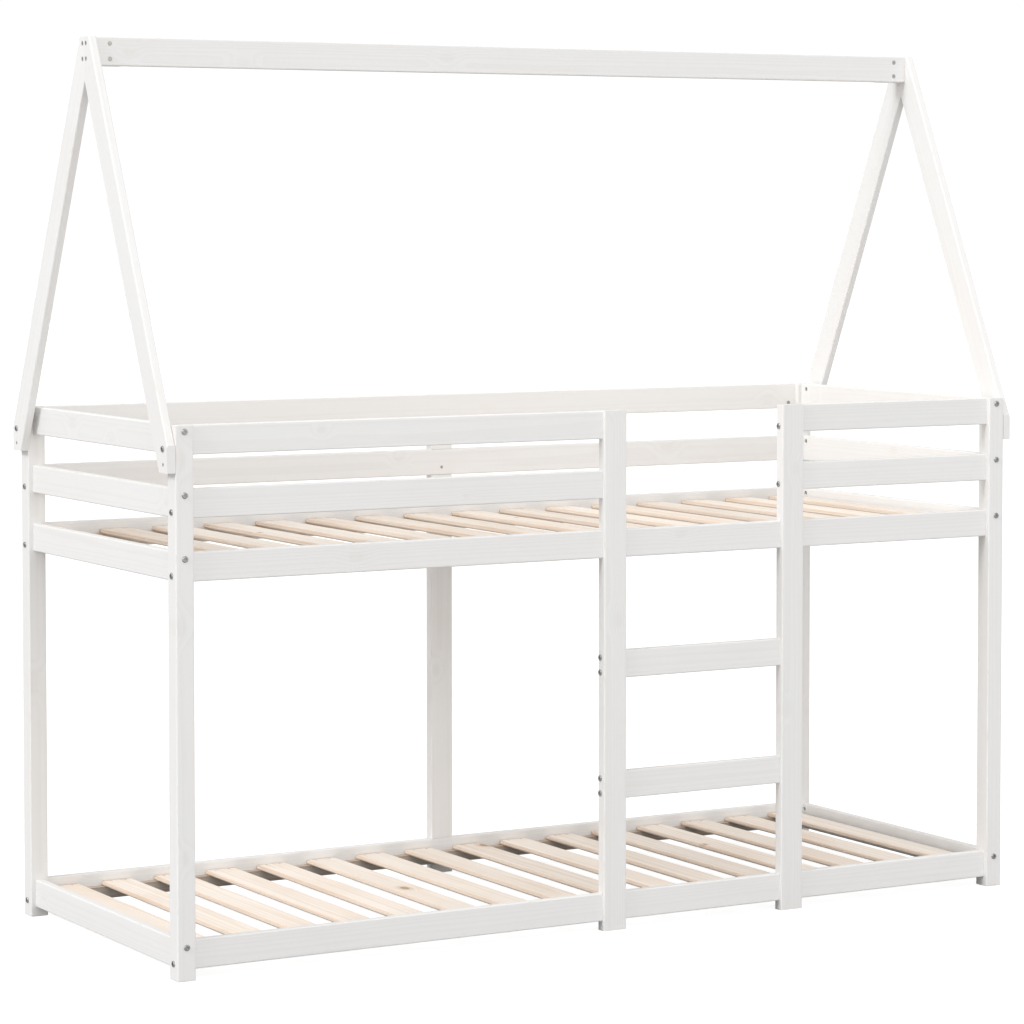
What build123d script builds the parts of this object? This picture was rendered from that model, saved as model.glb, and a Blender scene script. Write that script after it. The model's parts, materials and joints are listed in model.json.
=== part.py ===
from build123d import *
import math
import os

# House-framed bunk bed with a fixed ladder: pine boards on square posts, bolted and screwed together.
# +X runs along the bed, the ladder side faces -Y, and the origin is on the floor under the bed's centre.

# Overall frame, millimetres
BED_LENGTH = 2055
BED_WIDTH = 805
POST_SIZE = 40
POST_HEIGHT = 1114
EDGE_RADIUS = 3

# Every rail, guard, rung and rafter is cut from the same planed board
BOARD_WIDTH = 60
BOARD_THICKNESS = 18

# Lower edge of each row of boards above the floor
LOWER_RAIL_BOTTOM = 21
UPPER_RAIL_BOTTOM = 800
GUARD_MID_BOTTOM = 927
GUARD_TOP_BOTTOM = POST_HEIGHT - BOARD_WIDTH
RUNG_BOTTOMS = {"lower": 281.5, "upper": 541}

# Ladder posts and the rear middle post are wide, thinner boards standing on the floor
LADDER_POST_WIDTH = 56
LADDER_POST_DEPTH = 25
LADDER_LEFT_X = -29.5
LADDER_CLEAR_WIDTH = 400
LADDER_GAP_X = (LADDER_LEFT_X + LADDER_POST_WIDTH, LADDER_LEFT_X + LADDER_POST_WIDTH + LADDER_CLEAR_WIDTH)
LADDER_RIGHT_X = LADDER_GAP_X[1]
LADDER_RIGHT_END_X = LADDER_RIGHT_X + LADDER_POST_WIDTH

# Slatted bases
SLAT_COUNT = 16
SLAT_WIDTH = 73
SLAT_THICKNESS = 10
SLAT_EDGE_RADIUS = 4.5
SLAT_TOP_BELOW_RAIL = 19.5
SLAT_END_GAP = 1
SLAT_TO_POST_GAP = 4
CLEAT_DEPTH = 20
CLEAT_HEIGHT = 24

# Roof: two rafters at each end of the bed, cut flat on top, joined by one ridge board
RAFTER_SLOPE = 0.46
RAFTER_EAVES_Z = 1074
RAFTER_FOOT_Z = 1019
RIDGE_TOP_Z = 1897.5
RIDGE_BLOCK_LENGTH = 64

# Bolts with button heads, and the cylindrical nuts they pull on inside the board ends
BOLT_DIAMETER = 6
BOLT_HEAD_DIAMETER = 13
BOLT_HEAD_HEIGHT = 2.5
BOLT_HEAD_ROUNDING = 1.5
BOLT_SOCKET_WIDTH = 5
BOLT_SOCKET_DEPTH = 2
BOLT_HOLE_DIAMETER = 6.6
BOLT_BEYOND_NUT = 8
NUT_DIAMETER = 10
NUT_HOLE_DIAMETER = 10.4
NUT_LENGTH = 12
NUT_THREAD_DIAMETER = 6.2
NUT_SLOT_WIDTH = 1.6
NUT_SLOT_DEPTH = 1.2
NUT_FROM_END = 20
BOLT_OFFSET = 17
RUNG_BOLT_OFFSET = 16
DRILL_EXTRA = 1

# Countersunk wood screws, the ones at the ridge larger than the rest
SCREW_HEAD_DIAMETER = 7
RIDGE_SCREW_HEAD_DIAMETER = 10
SCREW_HEAD_TO_SHANK = 2
SCREW_TIP_LENGTH = 3
SCREW_TIP_DIAMETER = 0.6
SCREW_CROSS_SIZE = (3.6, 0.8, 2)
SCREW_CLEARANCE = 0.2
SCREW_RECESS = 0.6
RAFTER_SCREW_LENGTH = 42
RIDGE_SCREW_LENGTH = 32
POST_SCREW_LENGTH = 23
SLAT_SCREW_LENGTH = 20
SLAT_SCREW_SPACING = 33
RIDGE_SCREW_SPACING = 32
RIDGE_SCREW_FROM_END = 32
RAFTER_SCREW_BELOW_BOLT = 31.5
POST_SCREW_BELOW_MIDDLE = 12

# Planes worked out from the sizes above
END_X = BED_LENGTH / 2
SIDE_Y = BED_WIDTH / 2
RAIL_END_X = END_X - POST_SIZE
RAIL_END_Y = SIDE_Y - POST_SIZE
BOARD_INSET = (POST_SIZE - BOARD_THICKNESS) / 2
RAIL_OUTER_Y = SIDE_Y - BOARD_INSET
RAIL_INNER_Y = RAIL_OUTER_Y - BOARD_THICKNESS
END_OUTER_X = END_X - BOARD_INSET
END_INNER_X = END_OUTER_X - BOARD_THICKNESS
POST_AXIS_X = END_X - POST_SIZE / 2
POST_AXIS_Y = SIDE_Y - POST_SIZE / 2
RIDGE_BOTTOM_Z = RIDGE_TOP_Z - BOARD_WIDTH
DECK_BOTTOMS = {"lower": LOWER_RAIL_BOTTOM, "upper": UPPER_RAIL_BOTTOM}
ROW_BOTTOMS = {**DECK_BOTTOMS, "guard_mid": GUARD_MID_BOTTOM, "guard_top": GUARD_TOP_BOTTOM}
SIDES = {"left": -1, "right": 1}
FACES = {"front": -1, "rear": 1}


def block(x_span, y_span, z_span):
    """A plain box between two limits on each axis, given in either order."""
    limits = [sorted(span) for span in (x_span, y_span, z_span)]
    sizes = [high - low for low, high in limits]
    centre = [(low + high) / 2 for low, high in limits]
    return Pos(*centre) * Box(*sizes)


def rounded_block(x_span, y_span, z_span, along, radius=EDGE_RADIUS):
    """A planed board: a box with its four long edges rounded."""
    board = block(x_span, y_span, z_span)
    return fillet(board.edges().filter_by(along), radius)


def row_span(bottom):
    """Height span of one horizontal board."""
    return (bottom, bottom + BOARD_WIDTH)


# Wood


def corner_post(side, face):
    """Square post, rounded down its corners and eased at both ends."""
    post = block((side * RAIL_END_X, side * END_X), (face * RAIL_END_Y, face * SIDE_Y), (0, POST_HEIGHT))
    post = fillet(post.edges().filter_by(Axis.Z), EDGE_RADIUS)
    ends = post.faces().filter_by(Axis.Z).edges()
    return chamfer(ends, EDGE_RADIUS / 3)


def notched_post(left_x, face, notch_rows):
    """Flat post that stands proud of the rails and is notched over each rail that crosses it."""
    inner_y = face * RAIL_INNER_Y
    outer_y = face * (RAIL_INNER_Y + LADDER_POST_DEPTH)
    x_span = (left_x, left_x + LADDER_POST_WIDTH)
    post = rounded_block(x_span, (inner_y, outer_y), (0, POST_HEIGHT), Axis.Z)
    for bottom in notch_rows:
        post -= block(x_span, (inner_y, face * RAIL_OUTER_Y), row_span(bottom))
    return post


def long_board(face, bottom, x_span=(-RAIL_END_X, RAIL_END_X)):
    """Board along a long side, in the middle of the posts' depth."""
    return rounded_block(x_span, (face * RAIL_INNER_Y, face * RAIL_OUTER_Y), row_span(bottom), Axis.X)


def end_board(side, bottom):
    """Board across one end of the bed, in the middle of the posts' width."""
    x_span = (side * END_INNER_X, side * END_OUTER_X)
    return rounded_block(x_span, (-RAIL_END_Y, RAIL_END_Y), row_span(bottom), Axis.Y)


def cleat(face, rail_bottom):
    """Batten glued inside a long rail to carry the slats, bored to let the rail's nuts in."""
    top = rail_bottom + BOARD_WIDTH - SLAT_TOP_BELOW_RAIL - SLAT_THICKNESS
    end_x = RAIL_END_X - SLAT_TO_POST_GAP
    y_span = (face * (RAIL_INNER_Y - CLEAT_DEPTH), face * RAIL_INNER_Y)
    return block((-end_x, end_x), y_span, (top - CLEAT_HEIGHT, top))


def slat_centres():
    """X positions of the slats, evenly spaced between the corner posts."""
    first = -(RAIL_END_X - SLAT_TO_POST_GAP - SLAT_WIDTH / 2)
    pitch = -2 * first / (SLAT_COUNT - 1)
    return [first + pitch * number for number in range(SLAT_COUNT)]


def slat(centre_x, rail_bottom):
    """Bare pine slat with well-rounded long edges, resting on the two cleats."""
    top = rail_bottom + BOARD_WIDTH - SLAT_TOP_BELOW_RAIL
    x_span = (centre_x - SLAT_WIDTH / 2, centre_x + SLAT_WIDTH / 2)
    end_y = RAIL_INNER_Y - SLAT_END_GAP
    return rounded_block(x_span, (-end_y, end_y), (top - SLAT_THICKNESS, top), Axis.Y, SLAT_EDGE_RADIUS)


def rafter(side, face):
    """Roof board on the outside of a corner post, plumb-cut at the foot and at the ridge."""
    across = BOARD_WIDTH * math.hypot(1, RAFTER_SLOPE)
    outer_at_top = SIDE_Y - (RIDGE_TOP_Z - RAFTER_EAVES_Z) * RAFTER_SLOPE
    inner_at_foot = SIDE_Y + (RAFTER_EAVES_Z - RAFTER_FOOT_Z) * RAFTER_SLOPE - across
    inner_apex_z = RAFTER_EAVES_Z + (SIDE_Y - across) / RAFTER_SLOPE
    outline = [
        (face * SIDE_Y, RAFTER_FOOT_Z),
        (face * SIDE_Y, RAFTER_EAVES_Z),
        (face * outer_at_top, RIDGE_TOP_Z),
        (0, RIDGE_TOP_Z),
        (0, inner_apex_z),
        (face * inner_at_foot, RAFTER_FOOT_Z),
    ]
    profile = make_face(Plane.YZ * Polyline(*outline, close=True))
    board = Pos(side * END_X, 0, 0) * extrude(profile, BOARD_THICKNESS, dir=(side, 0, 0))
    sloping = [edge for edge in board.edges() if edge.length > BED_WIDTH]
    return fillet(sloping, EDGE_RADIUS)


def ridge_block(side):
    """Short board behind each end of the ridge, which the rear rafter is screwed to."""
    x_span = (side * (END_X - RIDGE_BLOCK_LENGTH), side * END_X)
    return block(x_span, (0, BOARD_THICKNESS), (RIDGE_BOTTOM_Z, RIDGE_TOP_Z))


def make_wood():
    """All timber pieces by name, before any hole is drilled."""
    wood = {}
    for side_name, side in SIDES.items():
        for face_name, face in FACES.items():
            wood[f"corner_post_{face_name}_{side_name}"] = corner_post(side, face)
            wood[f"rafter_{face_name}_{side_name}"] = rafter(side, face)
        for row, bottom in ROW_BOTTOMS.items():
            wood[f"end_{side_name}_{row}"] = end_board(side, bottom)
        wood[f"ridge_block_{side_name}"] = ridge_block(side)
    for face_name, face in FACES.items():
        for deck, bottom in DECK_BOTTOMS.items():
            wood[f"rail_{face_name}_{deck}"] = long_board(face, bottom)
            wood[f"slat_cleat_{face_name}_{deck}"] = cleat(face, bottom)
    wood["ladder_post_left"] = notched_post(LADDER_LEFT_X, -1, DECK_BOTTOMS.values())
    wood["ladder_post_right"] = notched_post(LADDER_RIGHT_X, -1, DECK_BOTTOMS.values())
    wood["rear_middle_post"] = notched_post(-LADDER_POST_WIDTH / 2, 1, ROW_BOTTOMS.values())
    for row in ("guard_mid", "guard_top"):
        bottom = ROW_BOTTOMS[row]
        wood[f"rear_{row}"] = long_board(1, bottom)
        wood[f"front_left_{row}"] = long_board(-1, bottom, (-RAIL_END_X, LADDER_LEFT_X))
        wood[f"front_right_{row}"] = long_board(-1, bottom, (LADDER_RIGHT_END_X, RAIL_END_X))
    for rung, bottom in RUNG_BOTTOMS.items():
        wood[f"ladder_rung_{rung}"] = long_board(-1, bottom, LADDER_GAP_X)
    ridge_y = (-BOARD_THICKNESS, 0)
    wood["ridge_board"] = rounded_block((-END_X, END_X), ridge_y, (RIDGE_BOTTOM_Z, RIDGE_TOP_Z), Axis.X)
    for number, centre_x in enumerate(slat_centres(), start=1):
        wood[f"slat_lower_{number:02d}"] = slat(centre_x, LOWER_RAIL_BOTTOM)
        wood[f"slat_upper_{number:02d}"] = slat(centre_x, UPPER_RAIL_BOTTOM)
    return wood


# Fasteners: each one has a point on the outer face it enters, an inward direction and a length


def row_middle(bottom, offset=0):
    """Mid-height of a board, moved up or down."""
    return bottom + BOARD_WIDTH / 2 + offset


def end_board_bolts():
    """Bolts through the posts' front and rear faces into the end boards, above their middles."""
    for side in SIDES.values():
        for face in FACES.values():
            for bottom in ROW_BOTTOMS.values():
                point = (side * POST_AXIS_X, face * SIDE_Y, row_middle(bottom, BOLT_OFFSET))
                yield point, (0, -face, 0), POST_SIZE + NUT_FROM_END, (side, 0, 0)


def long_board_bolts():
    """Bolts through the posts' end faces into the long boards, below their middles.

    The top row starts on the outside of the rafter feet, which these bolts clamp to the posts too.
    """
    for side in SIDES.values():
        for face in FACES.values():
            for row, bottom in ROW_BOTTOMS.items():
                cover = BOARD_THICKNESS if row == "guard_top" else 0
                point = (side * (END_X + cover), face * POST_AXIS_Y, row_middle(bottom, -BOLT_OFFSET))
                yield point, (-side, 0, 0), cover + POST_SIZE + NUT_FROM_END, (0, face, 0)


def ladder_bolts():
    """Bolts through the ladder posts into the guards beside them and the rungs between them."""
    reach = LADDER_POST_WIDTH + NUT_FROM_END
    for bottom in (GUARD_MID_BOTTOM, GUARD_TOP_BOTTOM):
        height = row_middle(bottom, -BOLT_OFFSET)
        yield (LADDER_GAP_X[0], -POST_AXIS_Y, height), (-1, 0, 0), reach, (0, -1, 0)
        yield (LADDER_GAP_X[1], -POST_AXIS_Y, height), (1, 0, 0), reach, (0, -1, 0)
    for bottom in RUNG_BOTTOMS.values():
        for offset in (-RUNG_BOLT_OFFSET, RUNG_BOLT_OFFSET):
            height = row_middle(bottom, offset)
            yield (LADDER_LEFT_X, -POST_AXIS_Y, height), (1, 0, 0), reach, (0, -1, 0)
            yield (LADDER_RIGHT_END_X, -POST_AXIS_Y, height), (-1, 0, 0), reach, (0, -1, 0)


def rafter_foot_screws():
    """One screw through each rafter foot into its post, under the bolt."""
    foot_z = row_middle(GUARD_TOP_BOTTOM, -BOLT_OFFSET) - RAFTER_SCREW_BELOW_BOLT
    for side in SIDES.values():
        for face in FACES.values():
            point = (side * (END_X + BOARD_THICKNESS), face * POST_AXIS_Y, foot_z)
            yield point, (-side, 0, 0), RAFTER_SCREW_LENGTH


def ridge_screws():
    """Pairs of screws through each rafter top, and through the ridge into its blocks."""
    for side in SIDES.values():
        for offset in (-RIDGE_SCREW_SPACING / 2, RIDGE_SCREW_SPACING / 2):
            height = row_middle(RIDGE_BOTTOM_Z, offset)
            for face in FACES.values():
                point = (side * (END_X + BOARD_THICKNESS), face * BOARD_THICKNESS / 2, height)
                yield point, (-side, 0, 0), RAFTER_SCREW_LENGTH
            point = (side * (END_X - RIDGE_SCREW_FROM_END), -BOARD_THICKNESS, height)
            yield point, (0, 1, 0), RIDGE_SCREW_LENGTH


def post_screws():
    """Screws from inside the bed, one where each board below the top row crosses a notched post.

    On the two deck rails they start on the slat cleat.
    """
    crossings = [(1, 0, row) for row in ROW_BOTTOMS if row != "guard_top"]
    for left_x in (LADDER_LEFT_X, LADDER_RIGHT_X):
        crossings += [(-1, left_x + LADDER_POST_WIDTH / 2, row) for row in DECK_BOTTOMS]
    for face, x, row in crossings:
        cover = CLEAT_DEPTH if row in DECK_BOTTOMS else 0
        height = row_middle(ROW_BOTTOMS[row], -POST_SCREW_BELOW_MIDDLE)
        yield (x, face * (RAIL_INNER_Y - cover), height), (0, face, 0), cover + POST_SCREW_LENGTH


def slat_screws():
    """Two screws down through each end of every slat into the cleat."""
    for bottom in DECK_BOTTOMS.values():
        top = bottom + BOARD_WIDTH - SLAT_TOP_BELOW_RAIL
        for centre_x in slat_centres():
            for face in FACES.values():
                for offset in (-SLAT_SCREW_SPACING / 2, SLAT_SCREW_SPACING / 2):
                    point = (centre_x + offset, face * (RAIL_INNER_Y - CLEAT_DEPTH / 2), top)
                    yield point, (0, 0, -1), SLAT_SCREW_LENGTH


def tube(diameter, start, end):
    """Cylinder on the Z axis between two depths."""
    return Pos(0, 0, (start + end) / 2) * Cylinder(diameter / 2, end - start)


def taper(start_diameter, end_diameter, start, end):
    """Cone on the Z axis between two depths."""
    return Pos(0, 0, (start + end) / 2) * Cone(start_diameter / 2, end_diameter / 2, end - start)


def make_bolt(reach):
    """Button-head bolt with a hexagon socket, its head seated at Z = 0 and its shank along +Z."""
    head = tube(BOLT_HEAD_DIAMETER, -BOLT_HEAD_HEIGHT, 0)
    head = fillet(head.edges().group_by(Axis.Z)[0], BOLT_HEAD_ROUNDING)
    socket = extrude(RegularPolygon(BOLT_SOCKET_WIDTH / math.sqrt(3), 6), BOLT_SOCKET_DEPTH)
    return head + tube(BOLT_DIAMETER, 0, reach + BOLT_BEYOND_NUT) - Pos(0, 0, -BOLT_HEAD_HEIGHT) * socket


def make_nut():
    """Cylindrical nut along Z, cross-bored along X for the bolt, with a slot to turn it by."""
    bore = Rot(0, 90, 0) * Cylinder(NUT_THREAD_DIAMETER / 2, 2 * NUT_DIAMETER)
    slot = Pos(0, 0, -NUT_LENGTH / 2) * Box(2 * NUT_DIAMETER, NUT_SLOT_WIDTH, 2 * NUT_SLOT_DEPTH)
    return Cylinder(NUT_DIAMETER / 2, NUT_LENGTH) - bore - slot


def countersink(head):
    """Shank diameter of a screw, and the depth at which its right-angled cone narrows to it."""
    shank = head / SCREW_HEAD_TO_SHANK
    return shank, SCREW_RECESS + (head - shank) / 2


def make_screw(length, head):
    """Countersunk cross-head screw driven along +Z from a surface at Z = 0."""
    shank, neck = countersink(head)
    tip = length - SCREW_TIP_LENGTH
    screw = taper(head, shank, SCREW_RECESS, neck)
    screw += tube(shank, neck, tip)
    screw += taper(shank, SCREW_TIP_DIAMETER, tip, length)
    for angle in (0, 90):
        screw -= Pos(0, 0, SCREW_RECESS) * Rot(0, 0, angle) * Box(*SCREW_CROSS_SIZE)
    return screw


def bolt_hole(reach):
    """Clearance hole for a bolt."""
    return tube(BOLT_HOLE_DIAMETER, 0, reach + BOLT_BEYOND_NUT + DRILL_EXTRA)


def nut_hole():
    """Blind hole for a nut, drilled from inside the bed through whatever covers the board."""
    return tube(NUT_HOLE_DIAMETER, -BOARD_THICKNESS / 2 - CLEAT_DEPTH, NUT_LENGTH / 2)


def screw_hole(length, head):
    """Pilot hole and countersink for a screw."""
    shank, neck = countersink(head)
    gap = 2 * SCREW_CLEARANCE
    mouth = tube(head + gap, 0, SCREW_RECESS)
    cone = taper(head + gap, shank + gap, SCREW_RECESS, neck)
    return mouth + cone + tube(shank + gap, neck, length + SCREW_CLEARANCE)


def placed(shape, point, direction, x_direction=None):
    """A copy of a shape made along Z, moved to a point and turned to a direction."""
    return Plane(origin=point, x_dir=x_direction, z_dir=direction) * shape


def make_fasteners():
    """All bolts, nuts and screws, grouped by kind, and every hole they need."""
    groups = {"frame_bolts": [], "barrel_nuts": [], "frame_screws": [], "post_screws": [], "slat_screws": []}
    holes = []
    nut = make_nut()
    for bolt_list in (end_board_bolts(), long_board_bolts(), ladder_bolts()):
        for point, inward, reach, outward in bolt_list:
            nut_point = Vector(point) + Vector(inward) * reach
            groups["frame_bolts"].append(placed(make_bolt(reach), point, inward))
            groups["barrel_nuts"].append(placed(nut, nut_point, outward, inward))
            holes.append(placed(bolt_hole(reach), point, inward))
            holes.append(placed(nut_hole(), nut_point, outward))
    screw_lists = (
        ("frame_screws", rafter_foot_screws(), SCREW_HEAD_DIAMETER),
        ("frame_screws", ridge_screws(), RIDGE_SCREW_HEAD_DIAMETER),
        ("post_screws", post_screws(), SCREW_HEAD_DIAMETER),
        ("slat_screws", slat_screws(), SCREW_HEAD_DIAMETER),
    )
    for name, screw_list, head in screw_lists:
        for point, inward, length in screw_list:
            groups[name].append(placed(make_screw(length, head), point, inward))
            holes.append(placed(screw_hole(length, head), point, inward))
    return groups, holes


def boxes_meet(first, second):
    """Whether two bounding boxes overlap."""
    return all(
        getattr(first.min, axis) < getattr(second.max, axis)
        and getattr(second.min, axis) < getattr(first.max, axis)
        for axis in "XYZ"
    )


def drilled(piece, holes):
    """A wood piece with every hole that reaches it cut out."""
    box = piece.bounding_box()
    cuts = [hole for hole, hole_box in holes if boxes_meet(box, hole_box)]
    return piece - cuts if cuts else piece


def make_nodes():
    """Every node by name: the drilled timber, with the upper deck's slats as one group, and the fasteners."""
    groups, holes = make_fasteners()
    boxed_holes = [(hole, hole.bounding_box()) for hole in holes]
    nodes = {name: drilled(piece, boxed_holes) for name, piece in make_wood().items()}
    upper_slats = [nodes.pop(name) for name in sorted(nodes) if name.startswith("slat_upper_")]
    groups["slats_upper"] = upper_slats
    for name, shapes in groups.items():
        nodes[name] = Compound([solid for shape in shapes for solid in shape.solids()])
    return nodes


os.makedirs("parts", exist_ok=True)
for node_name, node in make_nodes().items():
    export_step(node, f"parts/{node_name}.step")
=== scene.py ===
import json
import math
import random
import bpy
from mathutils import Matrix, Vector


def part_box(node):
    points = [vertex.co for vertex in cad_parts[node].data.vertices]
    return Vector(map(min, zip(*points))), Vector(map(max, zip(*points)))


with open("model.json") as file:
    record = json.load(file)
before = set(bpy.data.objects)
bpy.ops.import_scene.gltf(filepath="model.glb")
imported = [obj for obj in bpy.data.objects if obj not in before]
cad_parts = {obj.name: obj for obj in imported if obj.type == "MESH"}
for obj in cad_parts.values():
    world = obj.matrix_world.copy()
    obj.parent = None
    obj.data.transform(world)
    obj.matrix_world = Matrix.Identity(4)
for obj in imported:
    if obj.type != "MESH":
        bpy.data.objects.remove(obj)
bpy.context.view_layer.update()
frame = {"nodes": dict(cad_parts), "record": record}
nodes = frame["nodes"]

# Directions in the row frame
X_AXIS = Vector((1, 0, 0))
Y_AXIS = Vector((0, 1, 0))
Z_AXIS = Vector((0, 0, 1))

# Camera: in front of the bed and well to its left, at standing eye height
CAMERA_PLACE = Vector((-3.9801, -6.8777, 1.5497))
CAMERA_YAW = math.radians(30.099)
CAMERA_PITCH_DOWN = math.radians(2.937)
CAMERA_LENS_MM = 126.0
CAMERA_SENSOR_MM = 36.0
CAMERA_SHIFT = (-0.0128, -0.12)
CAMERA_CLIP_END = 200

# Light
WORLD_LIGHT = 0.89
WORLD_SEEN = 1.05
LEFT_KEY = {
    "strength": 1.49,
    "softness": math.radians(20),
    "comes_from": Vector((-0.40, -0.03, 0.25)),
}
FRONT_KEY = {
    "strength": 1.02,
    "softness": math.radians(50),
    "comes_from": Vector((-0.02, -0.33, 0.05)),
}

# Floor
FLOOR_SIZE = 60
FLOOR_SET_BACK = FLOOR_SIZE / 8
FLOOR_CLOUD = {"detail": 2.0, "rough": 0.5, "scale": 0.8}
FLOOR_GLOW = 0.90
FLOOR_SHADOWED = (0.28, 0.28, 0.28)
FLOOR_SHADOWED_WARM = (0.285, 0.28, 0.275)
FLOOR_BOUNCE = (0.38, 0.38, 0.38)

# Lengths below are in metres. A ramp is (from, to, result at from, result at to), and a pair that is
# given to a random draw is its (least, most).

# How the timber differs from board to board
FIRST_SEED = 7100
PATTERN_SHIFT = (0, 500)

# Knots
KNOT_SPACING = 0.36
KNOT_UNEVENNESS = 0.9
KNOT_START = (10, 900)
KNOT_SPREAD = 1.7
KNOT_LEAST_RADIUS = 0.0035
KNOT_RADIUS_SPAN = 0.0065
KNOT_SQUEEZE = 0.62

# Growth rings: the heart of the tree lies outside the board, so that its faces cut them as long arches
RING_STRETCH = (0.045, 1.0, 1.0)
RING_HEART = ((-50, 50), (0.03, 0.075), (-0.04, 0.04))
RING_SWEEP = (0.6, 4.5, 1.0, 0.0)
RING_SWEEP_REACH = 1.5
RING_DARKENS = (0.35, 0.93, 0.0, 1.0)
RING_ENDS = (0.93, 1.0, 1.0, 0.0)
RING_WAVINESS = {"Distortion": 5.0, "Detail": 2.0, "Detail Scale": 0.55, "Detail Roughness": 0.45}
WAVE_PHASE_PER_METRE = 20

# Fibre
FIBRE_START = (0, 90)
FIBRE_STRETCH = (9.0, 900.0, 900.0)
FIBRE_NOISE = {"detail": 3.0, "rough": 0.6}

# Edges and sawn ends
EDGE_CORE = 0.25
SAWN_FADES_FROM = 0.0008
SAWN_FADES_TO = 0.0003

# Slats that share one node
SLAT_TIMBER_STEP = 3.7
SLAT_DEPTH_SPAN = 0.05
SLAT_TONE = (0.0, 1.0, 0.93, 1.02)

# White paint on pine
PAINT = (0.835, 0.83, 0.82)
PAINT_TONE = (0.985, 1.01)
PAINT_WARM = (0.825, 0.797, 0.775)
PAINT_STREAK = (0.88, 0.86, 0.84)
PAINT_RUBBED = (0.62, 0.52, 0.41)
PAINT_SAWN = (0.72, 0.66, 0.58)
KNOT_IN_PAINT = (0.60, 0.50, 0.40)
PAINT_KNOT_SHARE = 0.3
PAINT_RING_SPACING = (0.0042, 0.0062)
PAINT_PATCHES = {"stretch": (3.2, 9.0, 9.0), "detail": 3.0, "rough": 0.55}
PAINT_PATCHES_WARM = (0.45, 0.72, 0.0, 0.45)
PAINT_RINGS_WARM = 0.13
PAINT_STREAKS = (0.35, 0.75, 0.0, 0.16)
PAINT_KNOT_GHOST = (0.7, 2.0, 0.08, 0.0)
PAINT_EDGE_REACH = 0.0035
PAINT_RUB = {"stretch": (22, 60, 60), "detail": 4.0, "rough": 0.65}
PAINT_RUB_DEPTH = (0.52, 0.72, 0.0, 0.35)
PAINT_SAWN_DEPTH = 0.18
PAINT_RING_RELIEF = 0.3
PAINT_FIBRE_RELIEF = 0.3
PAINT_KNOT_RELIEF = (0.8, 1.5, 0.55, 0.0)
ORANGE_PEEL = {"stretch": (260, 260, 260), "detail": 2.0, "rough": 0.5}
ORANGE_PEEL_RELIEF = 0.3
PAINT_ROUGHNESS = (0.3, 0.7, 0.36, 0.46)
PAINT_SAWN_ROUGHER = 0.25
PAINT_RELIEF = 0.00022
PAINT_SPECULAR = 0.34

# Bare pine
PINE_LIGHT = (0.93, 0.855, 0.78)
PINE_DARK = (0.78, 0.63, 0.48)
PINE_PATCH = (0.84, 0.72, 0.60)
PINE_STREAK = (0.90, 0.85, 0.79)
PINE_KNOT = (0.42, 0.26, 0.15)
PINE_KNOT_HALO = (0.60, 0.41, 0.25)
# Painted shade: the tan-brown that darkens the rounded edges of bare boards
PINE_EDGE_PAINTED_SHADE = (0.70, 0.48, 0.30)
PINE_SAWN = (0.48, 0.31, 0.17)
PINE_TONE = (0.95, 1.04)
# Painted shade: the cleats are darkened all over to stand in for the shadow under the slats
CLEAT_PAINTED_SHADE = 0.6
PINE_KNOT_SHARE = 0.12
PINE_RING_SPACING = (0.0038, 0.007)
PINE_RING_DEPTH = (0.35, 0.6)
PINE_PATCHES = {"stretch": (2.4, 8.0, 8.0), "detail": 3.0, "rough": 0.55}
PINE_PATCH_DEPTH = (0.42, 0.75, 0.0, 0.35)
PINE_STREAKS = (0.4, 0.75, 0.0, 0.3)
PINE_HALO_DEPTH = (0.9, 2.6, 0.55, 0.0)
PINE_KNOT_DEPTH = (0.75, 1.1, 0.85, 0.0)
# Reach and strength of the painted shade along the bare boards' edges
PINE_EDGE_SHADE_REACH = 0.006
PINE_EDGE_SHADE_DEPTH = 0.45
PINE_SAWN_DEPTH = 0.4
PINE_RING_RELIEF = 0.7
PINE_FIBRE_RELIEF = 0.6
PINE_KNOT_HOLLOW = 0.3
PINE_ROUGHNESS = (0.0, 1.0, 0.66, 0.52)
PINE_RELIEF = 0.00025
PINE_SPECULAR = 0.3

# Zinc plating: bright colour, dull colour and roughness of each slot
ZINC_LOOKS = {
    "zinc_bolt": ((0.50, 0.50, 0.50), (0.24, 0.24, 0.24), 0.22),
    "zinc_screw": ((0.5, 0.48, 0.45), (0.3, 0.28, 0.26), 0.34),
}
ZINC_CLOUD = {"detail": 4.0, "rough": 0.6, "scale": 420.0}
ZINC_DULLS = (0.4, 0.7, 0.0, 0.7)
ZINC_ROUGHENS = (0.3, 0.75)
ZINC_ROUGHNESS_SPAN = 0.2
ZINC_SCRATCHES = {"stretch": (900, 5200, 5200), "detail": 2.0, "rough": 0.5}
ZINC_SCRATCH_RELIEF = 0.4
ZINC_RELIEF = 0.00004

# Which way each board runs
POSTS = ("corner_post", "ladder_post", "rear_middle_post")
SLATS = ("slat_lower", "slats_upper")
RAFTER_SLOPE = 0.46


# Node graph helpers


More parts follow.
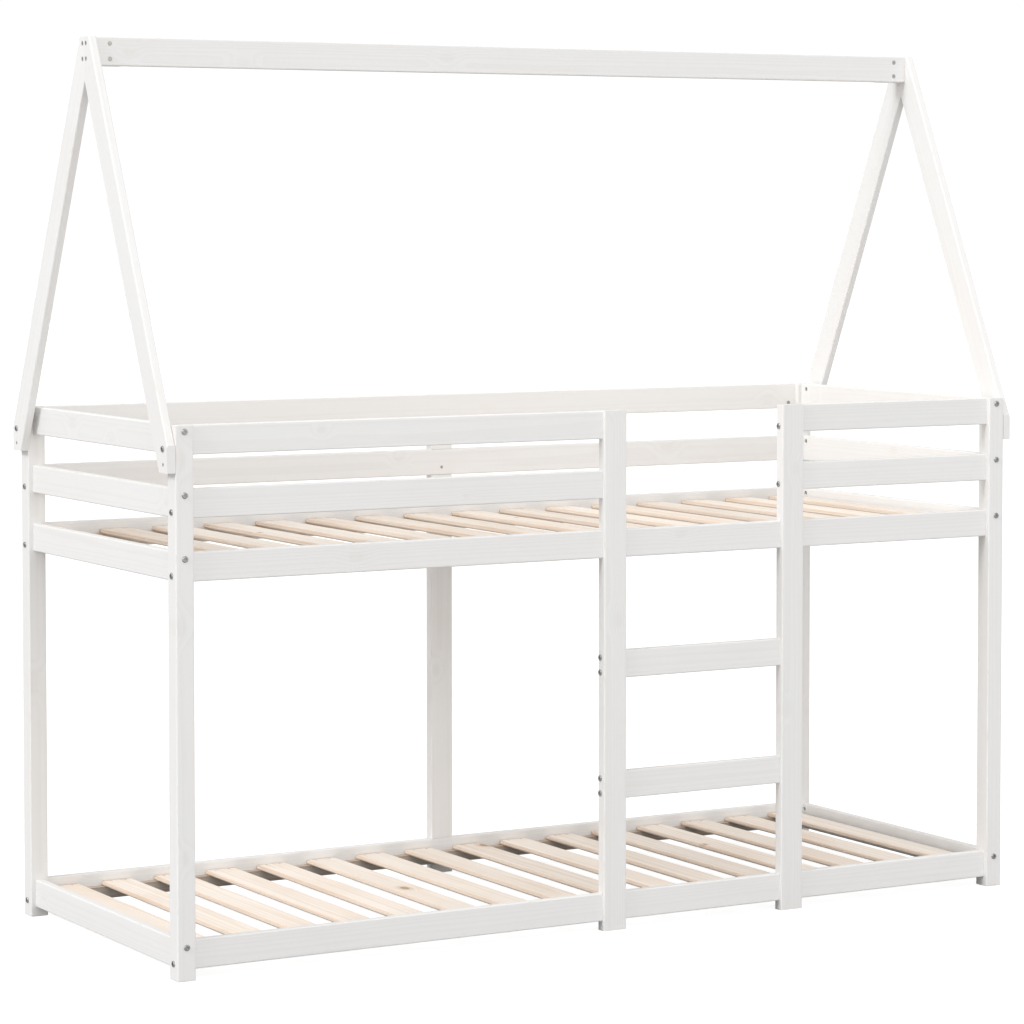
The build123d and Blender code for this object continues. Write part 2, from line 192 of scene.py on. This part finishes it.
class Graph:
    """Short way to add shader nodes and links to one material."""

    def __init__(self, name):
        self.material = bpy.data.materials.new(name)
        self.material.use_nodes = True
        self.tree = self.material.node_tree
        self.tree.nodes.clear()

    def add(self, kind, **settings):
        node = self.tree.nodes.new(kind)
        for key, value in settings.items():
            setattr(node, key, value)
        return node

    def put(self, socket, value):
        """Sets a socket to a constant, or links an output to it."""
        if isinstance(value, bpy.types.NodeSocket):
            self.tree.links.new(value, socket)
        else:
            socket.default_value = value

    def math(self, operation, *values):
        node = self.add("ShaderNodeMath", operation=operation)
        for socket, value in zip(node.inputs, values):
            self.put(socket, value)
        return node.outputs[0]

    def mix(self, factor, low, high, blend="MIX"):
        """Mixes two colours."""
        node = self.add("ShaderNodeMix", data_type="RGBA", blend_type=blend)
        self.put(node.inputs["Factor"], factor)
        for side, value in (("A", low), ("B", high)):
            socket = next(s for s in node.inputs if s.name == side and s.type == "RGBA")
            self.put(socket, value if isinstance(value, bpy.types.NodeSocket) else (*value, 1))
        return next(s for s in node.outputs if s.type == "RGBA")

    def ramp(self, value, low, high, to_low=0.0, to_high=1.0):
        """Maps a range of values smoothly onto another, held at both ends."""
        node = self.add("ShaderNodeMapRange", interpolation_type="SMOOTHSTEP")
        keys = ("Value", "From Min", "From Max", "To Min", "To Max")
        for key, given in zip(keys, (value, low, high, to_low, to_high)):
            self.put(node.inputs[key], given)
        return node.outputs["Result"]

    def noise(self, vector, detail, rough, scale=1.0):
        node = self.add("ShaderNodeTexNoise", noise_dimensions="3D")
        self.put(node.inputs["Vector"], vector)
        for key, given in (("Scale", scale), ("Detail", detail), ("Roughness", rough)):
            node.inputs[key].default_value = given
        return node.outputs["Fac"]

    def stretched(self, vector, scale, offset=(0, 0, 0)):
        node = self.add("ShaderNodeMapping", vector_type="POINT")
        self.put(node.inputs["Vector"], vector)
        node.inputs["Scale"].default_value = scale
        node.inputs["Location"].default_value = offset
        return node.outputs["Vector"]

    def stretched_noise(self, vector, stretch, detail, rough, offset=(0, 0, 0)):
        return self.noise(self.stretched(vector, stretch, offset), detail, rough)

    def join(self, x, y, z):
        node = self.add("ShaderNodeCombineXYZ")
        for socket, value in zip(node.inputs, (x, y, z)):
            self.put(socket, value)
        return node.outputs[0]

    def split(self, vector):
        node = self.add("ShaderNodeSeparateXYZ")
        self.put(node.inputs[0], vector)
        return node.outputs

    def surface(self, colour, roughness, bump_height, bump_distance, **constants):
        """Ends the graph with a Principled shader."""
        shader = self.add("ShaderNodeBsdfPrincipled")
        self.put(shader.inputs["Base Color"], colour)
        self.put(shader.inputs["Roughness"], roughness)
        for key, value in constants.items():
            shader.inputs[key.replace("_", " ")].default_value = value
        bump = self.add("ShaderNodeBump")
        bump.inputs["Strength"].default_value = 1.0
        bump.inputs["Distance"].default_value = bump_distance
        self.put(bump.inputs["Height"], bump_height)
        self.put(shader.inputs["Normal"], bump.outputs["Normal"])
        output = self.add("ShaderNodeOutputMaterial")
        self.put(output.inputs["Surface"], shader.outputs["BSDF"])
        return self.material


# Wood


class Board:
    """Where a board lies: its centre, its own axes and its half sizes along them."""

    def __init__(self, name, length_axis, thickness_axis):
        low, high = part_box(name)
        self.name = name
        self.pitch = None
        self.centre = (low + high) / 2
        self.length_axis = length_axis.normalized()
        self.thickness_axis = thickness_axis.normalized()
        self.width_axis = self.length_axis.cross(self.thickness_axis).normalized()
        corners = [vertex.co - self.centre for vertex in nodes[name].data.vertices]
        self.half = []
        for axis in (self.length_axis, self.thickness_axis, self.width_axis):
            along = [corner.dot(axis) for corner in corners]
            self.centre = self.centre + axis * ((min(along) + max(along)) / 2)
            self.half.append((max(along) - min(along)) / 2)

    def repeat(self, pitch, width):
        """Makes this a row of equal boards set side by side."""
        self.pitch = pitch
        self.half[2] = width / 2

    def turn(self):
        """Rotation from the board's own axes to the row frame."""
        columns = (self.length_axis, self.thickness_axis, self.width_axis)
        return Matrix([[column[row] for column in columns] for row in range(3)]).to_euler()


def board_coordinates(graph, board):
    """Object coordinates from the board's centre: along it, through it and across it."""
    source = graph.add("ShaderNodeTexCoord").outputs["Object"]
    mapping = graph.add("ShaderNodeMapping", vector_type="TEXTURE")
    graph.put(mapping.inputs["Vector"], source)
    mapping.inputs["Location"].default_value = board.centre
    mapping.inputs["Rotation"].default_value = board.turn()
    return mapping.outputs["Vector"]


def single_slats(graph, vector, board):
    """For a row of slats: each slat's own coordinates, the same moved to other timber, a random value."""
    along, through, across = graph.split(vector)
    steps = graph.math("DIVIDE", across, board.pitch)
    number = graph.math("FLOOR", steps)
    offset = graph.math("SUBTRACT", graph.math("SUBTRACT", steps, number), 0.5)
    own_across = graph.math("MULTIPLY", offset, board.pitch)
    chance = graph.add("ShaderNodeTexWhiteNoise", noise_dimensions="1D")
    graph.put(chance.inputs["W"], number)
    value = chance.outputs["Value"]
    moved = graph.math("MULTIPLY_ADD", number, SLAT_TIMBER_STEP, along)
    deeper = graph.math("MULTIPLY_ADD", value, SLAT_DEPTH_SPAN, through)
    return graph.join(along, through, own_across), graph.join(moved, deeper, own_across), value


def edge_mask(graph, vector, board, reach):
    """1 on the long edges and end edges of a board, fading to 0 a short way in."""
    near = []
    for value, half in zip(graph.split(vector), board.half):
        inner = graph.math("SUBTRACT", half, graph.math("ABSOLUTE", value))
        near.append(graph.ramp(inner, reach * EDGE_CORE, reach, 1.0, 0.0))
    pairs = [graph.math("MULTIPLY", near[a], near[b]) for a, b in ((0, 1), (0, 2), (1, 2))]
    return graph.math("MAXIMUM", pairs[0], graph.math("MAXIMUM", pairs[1], pairs[2]))


def end_mask(graph, vector, board):
    """1 on the sawn end faces."""
    along = graph.math("ABSOLUTE", graph.split(vector)[0])
    return graph.ramp(along, board.half[0] - SAWN_FADES_FROM, board.half[0] - SAWN_FADES_TO)


def knot_field(graph, vector, board, draw, share):
    """Knots placed one by one along the board: 1 near the knots that are there, distance in their radii."""
    along, _, across = graph.split(vector)
    cells = graph.add("ShaderNodeTexVoronoi", voronoi_dimensions="1D", feature="F1")
    cells.inputs["Scale"].default_value = 1.0
    cells.inputs["Randomness"].default_value = KNOT_UNEVENNESS
    scaled = graph.math("ADD", graph.math("DIVIDE", along, KNOT_SPACING), draw.uniform(*KNOT_START))
    graph.put(cells.inputs["W"], scaled)
    traits = graph.split(cells.outputs["Color"])
    step = graph.math("MULTIPLY", graph.math("SUBTRACT", scaled, cells.outputs["W"]), KNOT_SPACING)
    place = graph.math("MULTIPLY", graph.math("SUBTRACT", traits[0], 0.5), KNOT_SPREAD * board.half[2])
    radius = graph.math("MULTIPLY_ADD", traits[1], KNOT_RADIUS_SPAN, KNOT_LEAST_RADIUS)
    squeezed = graph.math("MULTIPLY", step, KNOT_SQUEEZE)
    side = graph.math("SUBTRACT", across, place)
    squares = [graph.math("POWER", length, 2.0) for length in (squeezed, side)]
    distance = graph.math("SQRT", graph.math("ADD", *squares))
    return graph.math("LESS_THAN", traits[2], share), graph.math("DIVIDE", distance, radius)


def ring_pattern(graph, vector, draw, present, ratio, spacing):
    """Growth rings cut by the board's faces, swept round the knots, from 0 in early wood to 1 in late."""
    sweep = graph.math("MULTIPLY", present, graph.ramp(ratio, *RING_SWEEP))
    pushed = graph.math("MULTIPLY", sweep, spacing * RING_SWEEP_REACH)
    heart = tuple(draw.uniform(*span) for span in RING_HEART)
    along, through, across = graph.split(graph.stretched(vector, RING_STRETCH, heart))
    wave = graph.add("ShaderNodeTexWave", wave_type="RINGS", rings_direction="X", wave_profile="SAW")
    graph.put(wave.inputs["Vector"], graph.join(along, graph.math("ADD", through, pushed), across))
    wave.inputs["Scale"].default_value = 2 * math.pi / (WAVE_PHASE_PER_METRE * spacing)
    for key, value in RING_WAVINESS.items():
        wave.inputs[key].default_value = value
    early = graph.ramp(wave.outputs["Fac"], *RING_DARKENS)
    late = graph.ramp(wave.outputs["Fac"], *RING_ENDS)
    return graph.math("MULTIPLY", early, late)


def fibre(graph, vector, draw):
    """Fine streaks along the grain."""
    start = (draw.uniform(*FIBRE_START), 0, draw.uniform(*FIBRE_START))
    return graph.stretched_noise(vector, FIBRE_STRETCH, offset=start, **FIBRE_NOISE)


def painted_pine(board, seed):
    """White satin paint on planed pine: soft grain relief, knots ghosting through, rubbed edges."""
    draw = random.Random(seed)
    graph = Graph(f"white_pine_{board.name}")
    vector = board_coordinates(graph, board)
    present, ratio = knot_field(graph, vector, board, draw, PAINT_KNOT_SHARE)
    rings = ring_pattern(graph, vector, draw, present, ratio, draw.uniform(*PAINT_RING_SPACING))
    fine = fibre(graph, vector, draw)
    shift = draw.uniform(*PATTERN_SHIFT)
    tone = draw.uniform(*PAINT_TONE)
    patches = graph.stretched_noise(vector, offset=(shift, shift, 0), **PAINT_PATCHES)
    sawn = end_mask(graph, vector, board)

    base = tuple(channel * tone for channel in PAINT)
    colour = graph.mix(graph.ramp(patches, *PAINT_PATCHES_WARM), base, PAINT_WARM)
    colour = graph.mix(graph.math("MULTIPLY", rings, PAINT_RINGS_WARM), colour, PAINT_WARM, "MULTIPLY")
    colour = graph.mix(graph.ramp(fine, *PAINT_STREAKS), colour, PAINT_STREAK, "MULTIPLY")
    ghost = graph.math("MULTIPLY", present, graph.ramp(ratio, *PAINT_KNOT_GHOST))
    colour = graph.mix(ghost, colour, KNOT_IN_PAINT)
    edges = edge_mask(graph, vector, board, PAINT_EDGE_REACH)
    rub_noise = graph.stretched_noise(vector, offset=(shift, 0, shift), **PAINT_RUB)
    rub = graph.math("MULTIPLY", edges, graph.ramp(rub_noise, *PAINT_RUB_DEPTH))
    colour = graph.mix(rub, colour, PAINT_RUBBED)
    colour = graph.mix(graph.math("MULTIPLY", sawn, PAINT_SAWN_DEPTH), colour, PAINT_SAWN)

    relief = graph.math("MULTIPLY_ADD", rings, PAINT_RING_RELIEF,
                        graph.math("MULTIPLY", fine, PAINT_FIBRE_RELIEF))
    rim = graph.math("MULTIPLY", present, graph.ramp(ratio, *PAINT_KNOT_RELIEF))
    relief = graph.math("ADD", relief, rim)
    peel = graph.stretched_noise(vector, **ORANGE_PEEL)
    relief = graph.math("MULTIPLY_ADD", peel, ORANGE_PEEL_RELIEF, relief)
    roughness = graph.ramp(patches, *PAINT_ROUGHNESS)
    roughness = graph.math("MULTIPLY_ADD", sawn, PAINT_SAWN_ROUGHER, roughness)
    return graph.surface(colour, roughness, relief, PAINT_RELIEF, Specular_IOR_Level=PAINT_SPECULAR)


def bare_pine(board, seed):
    """Planed pine left bare: clear rings, brown knots and open end grain, with painted shade that darkens
    the edges and the whole of the cleats.
    """
    draw = random.Random(seed)
    graph = Graph(f"natural_pine_{board.name}")
    vector = grain = board_coordinates(graph, board)
    if board.pitch:
        vector, grain, chance = single_slats(graph, vector, board)
    present, ratio = knot_field(graph, grain, board, draw, PINE_KNOT_SHARE)
    rings = ring_pattern(graph, grain, draw, present, ratio, draw.uniform(*PINE_RING_SPACING))
    fine = fibre(graph, grain, draw)
    shift = draw.uniform(*PATTERN_SHIFT)
    # Cleats are painted darker all over: painted shade for the shadow under the slats
    tone = draw.uniform(*PINE_TONE) * (CLEAT_PAINTED_SHADE if "cleat" in board.name else 1)
    patches = graph.stretched_noise(grain, offset=(shift, 0, shift), **PINE_PATCHES)

    light = tuple(channel * tone for channel in PINE_LIGHT)
    ring_depth = graph.math("MULTIPLY", rings, draw.uniform(*PINE_RING_DEPTH))
    colour = graph.mix(ring_depth, light, PINE_DARK)
    colour = graph.mix(graph.ramp(patches, *PINE_PATCH_DEPTH), colour, PINE_PATCH, "MULTIPLY")
    colour = graph.mix(graph.ramp(fine, *PINE_STREAKS), colour, PINE_STREAK, "MULTIPLY")
    if board.pitch:
        level = graph.ramp(chance, *SLAT_TONE)
        colour = graph.mix(1.0, colour, graph.join(level, level, level), "MULTIPLY")
    halo = graph.math("MULTIPLY", present, graph.ramp(ratio, *PINE_HALO_DEPTH))
    colour = graph.mix(halo, colour, PINE_KNOT_HALO)
    core = graph.math("MULTIPLY", present, graph.ramp(ratio, *PINE_KNOT_DEPTH))
    colour = graph.mix(core, colour, PINE_KNOT)
    # Painted shade: darker tan along the rounded edges
    edges = edge_mask(graph, vector, board, PINE_EDGE_SHADE_REACH)
    colour = graph.mix(graph.math("MULTIPLY", edges, PINE_EDGE_SHADE_DEPTH), colour, PINE_EDGE_PAINTED_SHADE, "MULTIPLY")
    sawn = end_mask(graph, vector, board)
    colour = graph.mix(graph.math("MULTIPLY", sawn, PINE_SAWN_DEPTH), colour, PINE_SAWN)

    relief = graph.math("MULTIPLY_ADD", rings, PINE_RING_RELIEF,
                        graph.math("MULTIPLY", fine, PINE_FIBRE_RELIEF))
    relief = graph.math("SUBTRACT", relief, graph.math("MULTIPLY", core, PINE_KNOT_HOLLOW))
    roughness = graph.ramp(rings, *PINE_ROUGHNESS)
    return graph.surface(colour, roughness, relief, PINE_RELIEF, Specular_IOR_Level=PINE_SPECULAR)


# Metal


def zinc(name, colour, dark, roughness):
    """Bright zinc plating with fine scratches and a dull film in patches."""
    graph = Graph(name)
    source = graph.add("ShaderNodeTexCoord").outputs["Object"]
    cloud = graph.noise(source, **ZINC_CLOUD)
    scratch = graph.stretched_noise(source, **ZINC_SCRATCHES)
    tint = graph.mix(graph.ramp(cloud, *ZINC_DULLS), colour, dark)
    shade = graph.ramp(cloud, *ZINC_ROUGHENS, roughness, roughness + ZINC_ROUGHNESS_SPAN)
    relief = graph.math("MULTIPLY_ADD", scratch, ZINC_SCRATCH_RELIEF, cloud)
    return graph.surface(tint, shade, relief, ZINC_RELIEF, Metallic=1.0)


# Each node's own material


def rafter_direction(name):
    """Along a rafter, from its foot up to the ridge."""
    low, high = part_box(name)
    towards_ridge = 1 if low.y + high.y < 0 else -1
    return Vector((0, towards_ridge * RAFTER_SLOPE, 1))


def lay_of(name):
    """(length axis, thickness axis) of a wooden node."""
    if name.startswith("rafter"):
        return rafter_direction(name), X_AXIS
    if name.startswith("end_"):
        return Y_AXIS, X_AXIS
    if name.startswith(POSTS):
        return Z_AXIS, Y_AXIS
    if name.startswith(SLATS):
        return Y_AXIS, Z_AXIS
    return X_AXIS, Y_AXIS


def dress(name, material):
    """Gives a CAD node one material."""
    mesh = nodes[name].data
    mesh.materials.clear()
    mesh.materials.append(material)


def dress_all():
    """Plating on the bolts, nuts and screws, and each board's own timber on the boards."""
    plating = {slot: zinc(slot, *look) for slot, look in ZINC_LOOKS.items()}
    slots = {part["node"]: part["material_slot"] for part in frame["record"]["subparts"]}
    first_low, first_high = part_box("slat_lower_01")
    slat_width = first_high.x - first_low.x
    slat_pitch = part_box("slat_lower_02")[0].x - first_low.x
    for number, name in enumerate(sorted(nodes)):
        slot = slots[name]
        if slot in plating:
            dress(name, plating[slot])
            continue
        board = Board(name, *lay_of(name))
        if name == "slats_upper":
            board.repeat(slat_pitch, slat_width)
        make = painted_pine if slot == "white_pine" else bare_pine
        dress(name, make(board, FIRST_SEED + number))


# Floor, light and camera


def studio_floor():
    """Large pale floor, lit like a light table so that it stays white round the bed."""
    bpy.ops.mesh.primitive_plane_add(size=FLOOR_SIZE, location=(0, FLOOR_SET_BACK, 0))
    floor = bpy.context.object
    floor.name = "studio_floor"
    graph = Graph("studio_floor")
    source = graph.add("ShaderNodeTexCoord").outputs["Object"]
    cloud = graph.noise(source, **FLOOR_CLOUD)
    pale = graph.add("ShaderNodeBsdfDiffuse")
    graph.put(pale.inputs["Color"], graph.mix(cloud, FLOOR_SHADOWED, FLOOR_SHADOWED_WARM))
    glow = graph.add("ShaderNodeEmission")
    glow.inputs["Strength"].default_value = FLOOR_GLOW
    lit = graph.add("ShaderNodeAddShader")
    graph.put(lit.inputs[0], pale.outputs[0])
    graph.put(lit.inputs[1], glow.outputs[0])
    bounce = graph.add("ShaderNodeBsdfDiffuse")
    bounce.inputs["Color"].default_value = (*FLOOR_BOUNCE, 1)
    choose = graph.add("ShaderNodeMixShader")
    graph.put(choose.inputs[0], graph.add("ShaderNodeLightPath").outputs["Is Camera Ray"])
    graph.put(choose.inputs[1], bounce.outputs[0])
    graph.put(choose.inputs[2], lit.outputs[0])
    output = graph.add("ShaderNodeOutputMaterial")
    graph.put(output.inputs["Surface"], choose.outputs[0])
    floor.data.materials.append(graph.material)


def soft_key(name, strength, softness, comes_from):
    """A distant light as wide as a large diffuser."""
    data = bpy.data.lights.new(name, "SUN")
    data.energy = strength
    data.angle = softness
    key = bpy.data.objects.new(name, data)
    key.rotation_euler = (-comes_from).to_track_quat("-Z", "Y").to_euler()
    bpy.context.scene.collection.objects.link(key)


def studio_light():
    """White surroundings, a soft key from the upper left and a softer one from the front."""
    world = bpy.data.worlds.new("studio")
    world.use_nodes = True
    tree = world.node_tree
    background = tree.nodes["Background"]
    background.inputs["Color"].default_value = (1, 1, 1, 1)
    path = tree.nodes.new("ShaderNodeLightPath")
    strength = tree.nodes.new("ShaderNodeMapRange")
    strength.inputs["To Min"].default_value = WORLD_LIGHT
    strength.inputs["To Max"].default_value = WORLD_SEEN
    tree.links.new(path.outputs["Is Camera Ray"], strength.inputs["Value"])
    tree.links.new(strength.outputs["Result"], background.inputs["Strength"])
    bpy.context.scene.world = world
    soft_key("left_key", **LEFT_KEY)
    soft_key("front_key", **FRONT_KEY)


def main_camera():
    """Camera turned down a little, with the rest of the framing as shift."""
    data = bpy.data.cameras.new("camera")
    data.sensor_width = CAMERA_SENSOR_MM
    data.lens = CAMERA_LENS_MM
    data.shift_x, data.shift_y = CAMERA_SHIFT
    data.clip_end = CAMERA_CLIP_END
    camera = bpy.data.objects.new("camera", data)
    camera.location = CAMERA_PLACE
    camera.rotation_euler = (math.pi / 2 - CAMERA_PITCH_DOWN, 0, -CAMERA_YAW)
    bpy.context.scene.collection.objects.link(camera)
    bpy.context.scene.camera = camera


dress_all()
studio_floor()
studio_light()
main_camera()
bpy.context.scene.view_settings.view_transform = "Standard"

bpy.context.view_layer.update()
